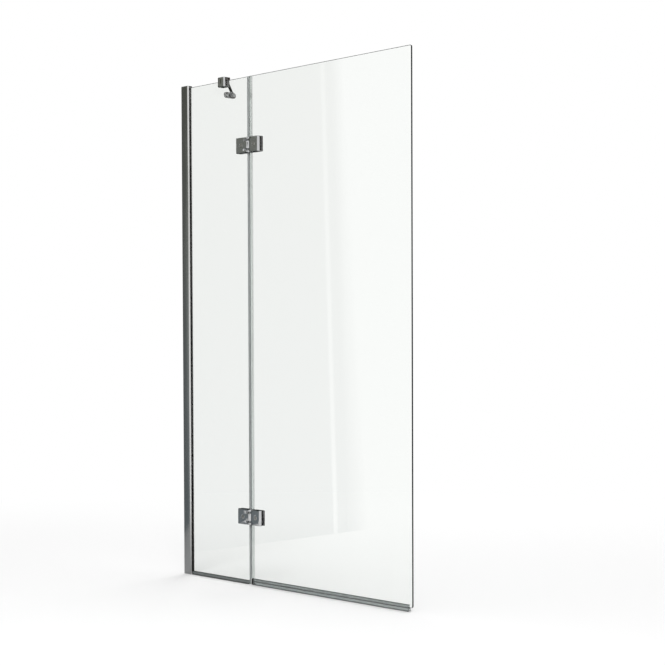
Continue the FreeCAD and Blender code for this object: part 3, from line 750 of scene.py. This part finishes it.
@dataclass
class WallChannel:
    """The channel, its top cap, its gaskets and the covers of its screws."""

    edge: float = 0.25
    cap_edge: float = 0.2
    depth: float = 30.0
    half_mouth: float = 4.6
    half_cavity: float = 7.0
    lip: float = 28.0
    gasket_foot: float = 3.5
    gasket_top: float = 1396.0
    gasket_reach: float = 3.0
    gasket_bulge: float = 0.6
    gasket_slope: Pair = (0.7, 0.9)
    gasket_corner: float = 0.15
    half_glass: float = 2.5
    screw_line: float = 15.5
    first_screw: float = 150.0
    screw_step: float = 550.0
    screws: int = 3
    cap_radius: float = 5.5
    cap_height: float = 1.5
    cap_fall: float = 0.6
    face: float = 9.0

    def gaskets(self, strips: StripGrower) -> list[Object]:
        """Grows the two gaskets of the channel's mouth.

        Args:
            strips: What grows extruded strips.

        Returns:
            The two pieces.
        """
        hook, root = (self.half_mouth + self.half_cavity) / 2, self.lip - self.gasket_reach
        share, rise = self.gasket_slope
        outline = [
            (root, self.half_glass), (self.depth + self.gasket_bulge, self.half_glass),
            (self.depth + self.gasket_bulge * share, self.half_glass + rise),
            (self.depth, self.half_mouth), (self.lip, self.half_mouth), (self.lip, hook),
            (root, hook)]
        made = []
        # A known fault: both strips come out on the outer side, the inner one's in the outer one's.
        for node, side in (("outer_glazing_gasket", 1), ("inner_glazing_gasket", -1)):
            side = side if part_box(node)[1].y > 0 else -side
            mesh = strips.strip(
                [[(x, side * y) for x, y in outline]], Run.UP, (0, 0, self.gasket_foot),
                self.gasket_top - self.gasket_foot, RUBBER, self.gasket_corner)
            made.append(finished(f"{node}_strip", mesh, RUBBER, node))
        return made

    def screw_covers(self, caps: CapGrower) -> Object:
        """Grows the snap-in covers over the channel's screws.

        Args:
            caps: What grows domed caps.

        Returns:
            The covers as one piece.
        """
        mesh = caps.grow({
            "Radius": self.cap_radius * MM, "Height": self.cap_height * MM,
            "Fall": self.cap_fall * MM, "Count": self.screws,
            "First": (self.screw_line * MM, self.face * MM, self.first_screw * MM),
            "Step": (0, 0, self.screw_step * MM)}, CHROME)
        return finished("channel_screw_covers", mesh, CHROME, "clamp_screw_caps")

    def build(self, strips: StripGrower, caps: CapGrower) -> list[Object]:
        """Makes and dresses the channel's pieces.

        Args:
            strips: What grows extruded strips.
            caps: What grows domed caps.

        Returns:
            The new pieces.
        """
        dress(NYLON, "glass_setting_block", "glass_packing_strip", "glass_pressure_strip")
        dress(STEEL, "channel_clamp_screws")
        extrusion = eased("wall_channel", ALUMINIUM, self.edge)
        top = eased("channel_top_cap", CHROME, self.cap_edge)
        return [extrusion, top, *self.gaskets(strips), self.screw_covers(caps)]


@dataclass
class Panes:
    """The fixed and the swinging pane, cut, ground at the edges and toughened.

    A face is flat or a side where its normal's part along Y or X is more than `flat` or `sideways`,
    and is in the pane's edge where its normal's part along Y is less than `edgewise`.
    """

    arris: float = 0.7
    seam: Pair = (270.0, 292.0)
    flat: float = 0.99
    sideways: float = 0.9
    edgewise: float = 0.5

    def surface(self, face: BMFace) -> Surface:
        """Tells which surface of an unground pane a face belongs to.

        Args:
            face: The face.

        Returns:
            The surface.
        """
        if abs(face.normal.y) > self.flat:
            return Surface.FLAT
        return Surface.SIDE if abs(face.normal.x) > self.sideways else Surface.GROUND

    def grind(self, work: BMesh, side: int) -> None:
        """Grinds the arris off the border of one face of a pane.

        Args:
            work: The pane.
            side: Which face, as the sign of its normal along Y.
        """
        border = bmesh.ops.inset_region(
            work, faces=[face for face in work.faces if face.normal.y * side > self.flat],
            thickness=self.arris * MM, use_boundary=True, use_even_offset=True)["faces"]
        outer = {
            point for face in border for point in face.verts
            if any(abs(beside.normal.y) < self.edgewise for beside in point.link_faces)}
        for point in outer:
            point.co.y -= side * self.arris * MM
        for face in border:
            face.material_index = Surface.GROUND

    def pane(self, node: str, seam_finish: Finish) -> Object:
        """Makes one pane with polished sides, and a ground top, foot and arrises.

        Args:
            node: Its CAD node.
            seam_finish: The finish of its edge in the seam, whose paler colour is painted light.

        Returns:
            The piece.
        """
        mesh = merged_copy(node)
        # The sides and the arrises get the edge's painted shade, the seam its painted light.
        for finish in (GLASS, GLASS_EDGE_PAINTED_SHADE, GLASS_ARRIS_PAINTED_SHADE, seam_finish):
            mesh.materials.append(finish.material())
        work = bmesh.new()
        work.from_mesh(mesh)
        for face in work.faces:
            face.material_index = self.surface(face)
        for side in (-1, 1):
            self.grind(work, side)
        start, end = self.seam
        for face in work.faces:
            if face.material_index and start < face.calc_center_median().x / MM < end:
                face.material_index = Surface.SEAM
        work.to_mesh(mesh)
        work.free()
        piece = finished(f"{node}_pane", shaded(mesh), GLASS, node)
        # A clear pane lets the lamps through.
        piece.visible_shadow = False
        return piece

    def build(self) -> list[Object]:
        """Makes both panes."""
        return [self.pane("fixed_glass", SEAM_EDGE_PAINTED_LIGHT), self.pane("door_glass", SEAL_EDGE_PAINTED_LIGHT)]


@dataclass
class Hinges:
    """The two pivot hinges: plated leaves and clamp plates, gaskets, pins, washers and bushes."""

    edge: float = 0.3

    def build(self) -> list[Object]:
        """Makes and dresses both hinges' pieces.

        Returns:
            The new pieces.
        """
        made = []
        for place in ("lower", "upper"):
            for part in ("fixed_body", "fixed_clamp_plate", "door_body", "door_clamp_plate"):
                made.append(eased(f"{place}_hinge_{part}", CHROME, self.edge))
            dress(RUBBER, f"{place}_hinge_fixed_gaskets", f"{place}_hinge_door_gaskets")
            dress(NYLON, f"{place}_hinge_thrust_washers", f"{place}_hinge_lug_bushes")
            made.append(eased(f"{place}_hinge_pin", STEEL, self.edge))
        dress(NYLON, "fixed_screw_sleeves", "door_screw_sleeves")
        return made


@dataclass
class ClampScrews:
    """The flush screws that clamp the hinge leaves, one row for each pane."""

    edge: float = 0.25
    head_radius: float = 6.0
    head_depth: float = 3.0
    shank_radius: float = 3.0
    length: float = 21.0
    across_flats: float = 4.0
    socket_depth: float = 2.4
    face: float = -12.0
    foot: float = 187.0
    step: float = 1022.0
    count: int = 2
    columns: tuple[tuple[str, float], ...] = (("fixed", 260.0), ("door", 311.0))

    def build(self, screws: ScrewGrower) -> list[Object]:
        """Grows both rows.

        Args:
            screws: What grows flush screws.

        Returns:
            The two pieces.
        """
        made = []
        for pane, x in self.columns:
            mesh = screws.grow({
                "Head Radius": self.head_radius * MM, "Head Depth": self.head_depth * MM,
                "Shank Radius": self.shank_radius * MM, "Length": self.length * MM,
                "Socket Radius": self.across_flats / math.sqrt(3) * MM,
                "Socket Depth": self.socket_depth * MM, "Count": self.count,
                "First": (x * MM, self.face * MM, self.foot * MM), "Step": (0, 0, self.step * MM),
            }, STEEL, easing=Easing(self.edge))
            made.append(finished(f"{pane}_flush_screws", mesh, STEEL, f"{pane}_clamp_screws"))
        return made


@dataclass
class Seals:
    """The tube seal in the seam, the seals under both panes and the block beside the seam.

    Clear plastic that touches clear glass would share its surface, so the seals stand 0.08 off it.
    """

    axis: float = 281.0
    tube: float = 3.7
    wall: float = 0.82
    half_glass: float = 2.58
    door_edge: float = 284.9
    leg_root: float = 0.2
    leg_end: float = 294.0
    tube_corner: float = 0.2
    tube_sides: int = 26
    bore_sides: int = 28
    lengths: tuple[tuple[str, float, float], ...] = (
        ("lower", 17.9, 165.0), ("middle", 209.0, 1187.0), ("upper", 1231.0, 1396.0))
    fixed_seal: Pair = (30.6, 275.0)
    fixed_corner: float = 0.35
    fixed_wall: float = 1.52
    fixed_top: float = 10.5
    fixed_glass_foot: float = 3.42
    door_seal: Pair = (292.0, 868.0)
    door_corner: float = 0.3
    clip_top: float = 17.6
    glass_foot: float = 9.92
    web: float = 1.6
    drip: float = 0.8
    splay: float = 1.4
    # Each band of painted shade on the foot seals is this tall.
    shade_band: float = 1.3
    block_edge: float = 0.4
    # A zone of another finish starts this far inside its faces, and ends this far past the strip.
    inside: float = 0.05
    past: float = 1.0

    def seam_loops(self) -> list[Loop]:
        """Draws the tube with its two legs, and its bore.

        Returns:
            The outline and the bore, seen from above.
        """
        outer = self.half_glass + self.wall
        meet = math.asin(outer / self.tube)
        steps, turns = self.tube_sides, self.bore_sides
        arc = [meet + (2 * math.pi - 2 * meet) * i / steps for i in range(steps + 1)]
        outline = [(self.axis + self.tube * math.cos(a), self.tube * math.sin(a)) for a in arc]
        tip, root = self.leg_end, self.door_edge + self.leg_root
        leg = [
            (root, outer), (tip, outer), (tip, self.half_glass), (self.door_edge, self.half_glass)]
        outline += [(x, -y) for x, y in leg] + leg[::-1]
        bore = self.tube - self.wall
        circle = [2 * math.pi * i / turns for i in range(turns)]
        return [outline, [(self.axis + bore * math.cos(a), bore * math.sin(a)) for a in circle]]

    def seam(self, strips: StripGrower) -> list[Object]:
        """Grows the three lengths of seam seal.

        Args:
            strips: What grows extruded strips.

        Returns:
            The three pieces.
        """
        made = []
        for place, low, high in self.lengths:
            mesh = strips.strip(
                self.seam_loops(), Run.UP, (0, 0, low), high - low, SOFT_PVC, self.tube_corner)
            legs = (self.door_edge + self.inside, self.leg_end + self.past)
            dress_zone(mesh, CLEAR_PVC, "x", (legs,))
            piece = finished(f"seam_seal_{place}_tube", mesh, SOFT_PVC, f"seam_seal_{place}")
            # The tube and its clear legs let the lamps through to the edge of the glass.
            piece.visible_shadow = False
            made.append(piece)
        return made

    @staticmethod
    def whole(half: Loop) -> Loop:
        """Adds the mirror image of half a profile that starts and ends in its middle."""
        return half + [(-y, z) for y, z in reversed(half[1:-1])]

    def fixed_foot(self) -> tuple[Loop, tuple[Pair, ...]]:
        """Draws the seal under the fixed pane.

        Returns:
            Its outline and the zones painted dark as painted shade, at its top and its foot.
        """
        glass, foot, top = self.half_glass, self.fixed_glass_foot, self.fixed_top
        outer, shade_band = glass + self.fixed_wall, top - self.shade_band
        half = [
            (0, foot), (glass, foot), (glass, top), (outer, top), (outer, shade_band), (outer, foot),
            (outer, 0), (0, 0)]
        return self.whole(half), ((-self.past, foot - self.inside), (shade_band, top + self.past))

    def door_foot(self) -> tuple[Loop, tuple[Pair, ...]]:
        """Draws the clip under the swinging pane, with its two drip lips.

        Returns:
            Its outline and the zones painted dark as painted shade: its top, the glass foot and the
            lip tips.
        """
        glass, foot, top = self.half_glass, self.glass_foot, self.clip_top
        grip, web, shade_band = glass + self.wall, foot - self.web, top - self.shade_band
        # soft is the top of the band of painted shade at the lip tips.
        tip, soft = grip + self.splay, self.drip + self.shade_band
        slope, inside = self.splay / (web - self.drip), 2 * self.inside
        half = [
            (0, foot), (glass, foot), (glass, top), (grip, top), (grip, shade_band), (grip, foot),
            (grip, web), (tip - slope * self.shade_band, soft), (tip, self.drip),
            (tip - self.wall, self.drip), (grip - self.web, web), (0, web)]
        return self.whole(half), (
            (-self.past, soft), (web + inside, foot - inside), (shade_band, top + self.past))

    def feet(self, strips: StripGrower) -> list[Object]:
        """Grows the seals under the fixed and the swinging pane.

        Args:
            strips: What grows extruded strips.

        Returns:
            The two pieces.
        """
        made = []
        for node, (loop, zones), (start, end), corner, finish in (
                ("fixed_bottom_seal", self.fixed_foot(), self.fixed_seal, self.fixed_corner,
                 GREY_PVC),
                ("door_bottom_seal", self.door_foot(), self.door_seal, self.door_corner,
                 HARD_PVC)):
            mesh = strips.strip([loop], Run.ALONG, (start, 0, 0), end - start, finish, corner)
            # These zones are painted shade, not a second plastic.
            dress_zone(mesh, PAINTED_SHADE_PVC, "z", zones)
            made.append(finished(f"{node}_strip", mesh, finish, node))
        return made

    def build(self, strips: StripGrower) -> list[Object]:
        """Makes all the seals.

        Args:
            strips: What grows extruded strips.

        Returns:
            The new pieces.
        """
        block = eased("door_seal_end_block", RUBBER, self.block_edge)
        return [*self.seam(strips), *self.feet(strips), block]


@dataclass
class Stay:
    """The clamp on the glass, the rod, the plate and the pins of the stay."""

    edge: float = 0.25

    def build(self) -> list[Object]:
        """Makes and dresses the stay's pieces.

        Returns:
            The new pieces.
        """
        dress(RUBBER, "stay_clamp_pads")
        return [eased(f"stay_{part}", finish, self.edge) for part, finish in (
            ("clamp_block", CHROME), ("rod", CHROME), ("wall_plate", CHROME),
            ("clamp_grub_screw", STEEL), ("clamp_pin", STEEL), ("wall_pin", STEEL))]


# ---- studio


def bare_material(name: str) -> Material:
    """Makes a material with no nodes yet.

    Args:
        name: The material's name.

    Returns:
        The material.
    """
    made = bpy.data.materials.new(name)
    made.use_nodes = True
    made.node_tree.nodes.clear()
    return made


@dataclass(frozen=True)
class Column:
    """A line across a cloth: its two ends, and how dense the cloth is at each."""

    first: Point
    second: Point
    cover: Pair = (1, 1)


def standing(
    x: float, y: float, low: float, high: float, lean: float = 0, cover: Pair = (1, 1)
) -> Column:
    """A column that stands at x and y, and whose top leans along Y."""
    return Column((x, y, low), (x, y + lean, high), cover)


@dataclass(frozen=True)
class Flag:
    """A dark cloth beside the set that only mirrored rays meet, as a photographer hangs it to give
    bright metal and glass something to mirror. Its colour goes from foot to top over its height.
    """

    name: str
    top: str
    foot: str
    columns: tuple[Column, ...]
    height: float = 2000.0

    def build(self) -> None:
        """Hangs the cloth."""
        mesh = bpy.data.meshes.new(self.name)
        ends = [end for column in self.columns for end in (column.first, column.second)]
        faces = [(i, i + 2, i + 3, i + 1) for i in range(0, len(ends) - 2, 2)]
        mesh.from_pydata([[c * MM for c in end] for end in ends], [], faces)
        dense = mesh.attributes.new("cloth_cover", "FLOAT", "POINT")
        dense.data.foreach_set(
            "value", [float(part) for column in self.columns for part in column.cover])
        made = bare_material(f"{self.name}_cloth")
        tree = made.node_tree
        place = add_node(tree, "ShaderNodeTexCoord").outputs["Object"]
        up = add_node(tree, "ShaderNodeSeparateXYZ", {0: place}).outputs[2]
        share = add_node(tree, MATH, {0: up, 1: 1 / (self.height * MM)}, operation="MULTIPLY")
        mix = {"Factor": share.outputs[0], "A": linear(self.foot), "B": linear(self.top)}
        shade = add_node(tree, "ShaderNodeMix", mix, data_type="RGBA").outputs["Result"]
        glow = add_node(tree, "ShaderNodeEmission", {"Color": shade}).outputs[0]
        clear = add_node(tree, "ShaderNodeBsdfTransparent").outputs[0]
        bounces = add_node(tree, "ShaderNodeLightPath").outputs["Glossy Depth"]
        mirrored = add_node(tree, MATH, {0: bounces, 1: 1.0}, operation="MINIMUM").outputs[0]
        density = add_node(tree, "ShaderNodeAttribute", attribute_name="cloth_cover").outputs["Fac"]
        cover = add_node(tree, MATH, {0: mirrored, 1: density}, operation="MULTIPLY").outputs[0]
        both = add_node(tree, "ShaderNodeMixShader", {0: cover, 1: clear, 2: glow}).outputs[0]
        add_node(tree, "ShaderNodeOutputMaterial", {"Surface": both})
        mesh.materials.append(made)
        card = placed(self.name, mesh)
        for kind in ("camera", "diffuse", "volume_scatter", "shadow"):
            setattr(card, f"visible_{kind}", False)


@dataclass
class Studio:
    """The pale floor, the soft lamps, the white surroundings, the flags and the camera."""

    floor_size: float = 24000.0
    floor_drop: float = 0.4
    near: float = 900.0
    far: float = 2600.0
    middle: Pair = (440.0, 0.0)
    white: float = 1.0
    soft: float = 0.62
    lamp_side: float = 2600.0
    lamp_aim: Point = (440.0, 0.0, 600.0)
    sensor: float = 36.0
    lens: float = 78.99
    shift: float = 0.07
    eye: Point = (3282.8, -2675.4, 673.3)
    eye_turn: Point = (45.07, -1.524, -0.219)

    def seen_bright(self, tree: NodeTree) -> NodeSocket:
        """Adds the test for rays that see the background: straight, mirrored or through glass.

        Args:
            tree: The material's or world's nodes.

        Returns:
            1 for those rays, else 0.
        """
        path = add_node(tree, "ShaderNodeLightPath").outputs
        seen = path["Is Camera Ray"]
        for other in ("Is Glossy Ray", "Is Transmission Ray"):
            seen = add_node(tree, MATH, {0: seen, 1: path[other]}, operation="MAXIMUM").outputs[0]
        return seen

    def surroundings(self) -> None:
        """Makes the world white to the eye and softer as a light."""
        world = bpy.data.worlds.new("white_studio")
        bpy.context.scene.world = world
        world.use_nodes = True
        tree = world.node_tree
        tree.nodes.clear()
        light, eye = (
            add_node(tree, "ShaderNodeBackground", {"Color": linear("#FFFFFF"), "Strength": power})
            for power in (self.soft, self.white))
        both = add_node(tree, "ShaderNodeMixShader", {
            0: self.seen_bright(tree), 1: light.outputs[0], 2: eye.outputs[0]}).outputs[0]
        add_node(tree, "ShaderNodeOutputWorld", {"Surface": both})

    def floor(self) -> None:
        """Lays the pale floor, which fades into the white surroundings."""
        half, x, y = self.floor_size / 2 * MM, self.middle[0] * MM, self.middle[1] * MM
        mesh = bpy.data.meshes.new("studio_floor")
        corners = [
            (x + u * half, y + v * half, -self.floor_drop * MM)
            for u, v in ((-1, -1), (1, -1), (1, 1), (-1, 1))]
        mesh.from_pydata(corners, [], [(0, 1, 2, 3)])
        made = bare_material("painted_studio_floor")
        tree = made.node_tree
        paint = add_node(tree, "ShaderNodeBsdfDiffuse", {"Color": linear("#FAFAFA")}).outputs[0]
        glow = add_node(tree, "ShaderNodeEmission", {"Color": linear("#FFFFFF")}).outputs[0]
        place = add_node(tree, "ShaderNodeTexCoord").outputs["Object"]
        away = add_node(
            tree, "ShaderNodeVectorMath", {0: place, 1: (x, y, 0)}, operation="DISTANCE")
        share = add_node(tree, "ShaderNodeMapRange", {
            0: away.outputs["Value"], 1: self.near * MM, 2: self.far * MM},
            interpolation_type="SMOOTHSTEP").outputs[0]
        seen = self.seen_bright(tree)
        fade = add_node(tree, MATH, {0: share, 1: seen}, operation="MULTIPLY").outputs[0]
        both = add_node(tree, "ShaderNodeMixShader", {0: fade, 1: paint, 2: glow}).outputs[0]
        add_node(tree, "ShaderNodeOutputMaterial", {"Surface": both})
        mesh.materials.append(made)
        placed("studio_floor", mesh)

    def lamp(self, name: str, place: Point, power: float) -> None:
        """Hangs one soft box that points at the screen.

        Args:
            name: The lamp's name.
            place: Where it hangs.
            power: Its power in watts.
        """
        data = bpy.data.lights.new(name, "AREA")
        data.size, data.energy = self.lamp_side * MM, power
        lamp = placed(name, data)
        here = Vector(place) * MM
        lamp.location = here
        aim = Vector(self.lamp_aim) * MM - here
        lamp.rotation_euler = aim.to_track_quat("-Z", "Y").to_euler()
        for kind in ("camera", "glossy", "transmission"):
            setattr(lamp, f"visible_{kind}", False)

    def camera(self) -> None:
        """Sets the camera where the photograph was taken from."""
        data = bpy.data.cameras.new("camera")
        data.sensor_width, data.lens, data.shift_y = self.sensor, self.lens, self.shift
        seen = placed("camera", data)
        seen.location = tuple(c * MM for c in self.eye)
        yaw, pitch, roll = (math.radians(a) for a in self.eye_turn)
        turn = (
            Matrix.Rotation(yaw, 3, "Z") @ Matrix.Rotation(math.pi / 2 + pitch, 3, "X")
            @ Matrix.Rotation(roll, 3, "Z"))
        seen.rotation_euler = turn.to_euler()
        bpy.context.scene.camera = seen

    def flags(self) -> None:
        """Hangs the dark cloths."""
        olive, slate, brown, black = "#56564D", "#63696C", "#4A423C", "#17191A"
        sand, steel, grey, pale, lead = "#8A8A7E", "#7F868A", "#868783", "#C9C9C4", "#4C5255"
        left, right, front = -300, 900, -6000
        low, top, high, tall = 0, 1700, 2200, 3600
        thin, fading, rising = (0, 0), (1, 0), (0, 1)
        cloths = (
            Flag("channel_flag", olive, slate, (
                standing(left, -9, low, top), standing(left, -285, low, top))),
            Flag("left_flag", sand, steel, (
                standing(left, -285, low, top), standing(left, -905, low, top, 60))),
            Flag("left_gap_flag", pale, pale, (
                standing(left, -905, low, top, 60, rising),
                standing(left, -925, low, top, 60, rising))),
            Flag("left_strip_flag", sand, steel, (
                standing(left, -925, low, top, 60), standing(left, -975, low, top, 80),
                standing(left, -1080, low, top, 125, thin))),
            Flag("left_floor_flag", lead, lead, (
                Column((left, -9, 1), (690, -9, 1), fading),
                Column((left, -1030, 1), (left + 1, -1030, 1), fading))),
            Flag("right_flag", brown, black, (
                standing(400, right, low, high, cover=thin), standing(780, right, low, high),
                standing(1850, right, low, high), standing(2150, right, low, high, cover=thin))),
            Flag("right_floor_flag", black, black, (
                Column((30, 13, 1), (400, right, 1), fading), Column((60, 13, 1), (780, right, 1)),
                Column((880, 13, 1), (1850, right, 1)),
                Column((1000, 13, 1), (2150, right, 1), thin))),
            Flag("upper_end_flag", grey, grey, (
                standing(1230, 898, 1330, 1490), standing(1400, 898, 1330, 1490))),
            Flag("clamp_flag", olive, olive, (
                standing(-298, -370, 1460, 1570), standing(-298, -450, 1460, 1570))),
            Flag("rear_flag", black, black, (
                standing(left, 30, low, high), standing(left, 1000, low, high),
                standing(left, 1400, low, high, cover=thin))),
            Flag("front_flag", grey, grey, (
                standing(-2400, front, low, tall, cover=thin),
                standing(-600, front, low, tall, cover=rising),
                standing(1500, front, low, tall, cover=rising),
                standing(3300, front, low, tall, cover=thin))))
        for cloth in cloths:
            cloth.build()

    def build(self) -> None:
        """Sets the whole studio up."""
        bpy.context.scene.view_settings.view_transform = "Standard"
        self.camera()
        self.surroundings()
        self.floor()
        self.flags()
        self.lamp("key_softbox", (2600, -3200, 3400), 120)
        self.lamp("fill_softbox", (-1400, 3200, 3000), 60)


def main() -> None:
    """Builds the studio and the screen's sub-assemblies in order."""
    logging.basicConfig(level=logging.INFO, format="%(message)s")
    Studio().build()
    strips, screws, caps = StripGrower(), ScrewGrower(), CapGrower()
    made = [
        *WallChannel().build(strips, caps), *Panes().build(), *Hinges().build(),
        *ClampScrews().build(screws), *Seals().build(strips), *Stay().build()]


if __name__ == "__main__":
    main()
